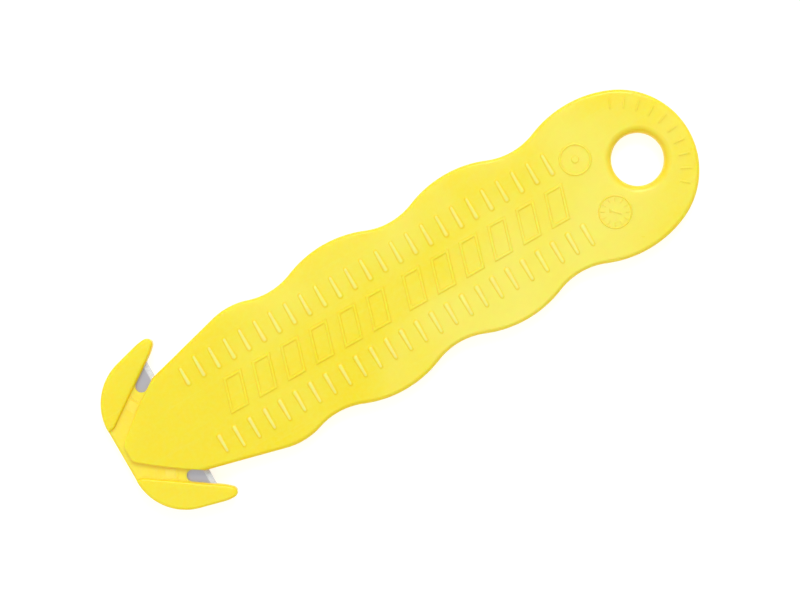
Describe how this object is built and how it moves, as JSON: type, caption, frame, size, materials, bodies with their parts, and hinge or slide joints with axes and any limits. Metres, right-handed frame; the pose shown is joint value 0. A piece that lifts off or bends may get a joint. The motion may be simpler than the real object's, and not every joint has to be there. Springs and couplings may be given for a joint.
{
  "type": "hook-blade safety cutter",
  "caption": "Flat moulded hand cutter with guarded hooks at one end, a steel strip blade held across its head, a wavy ribbed grip and a round hanging hole.",
  "frame": {"origin": "centre of the outer box in X and Y, at the lowest points of the back face's grip ribs in Z", "axes": "+X from the nose to the hanging-hole end along the tool, +Z out of the marked front face, Y across the two hooks; the outline is symmetric about Y = 0"},
  "size_m": [0.1174, 0.0326, 0.004],
  "materials": {
    "body": "satin yellow moulded plastic",
    "blade": "ground carbon steel"
  },
  "bodies": {
    "root": {"body": "body", "blade": "blade"}
  },
  "joints": []
}
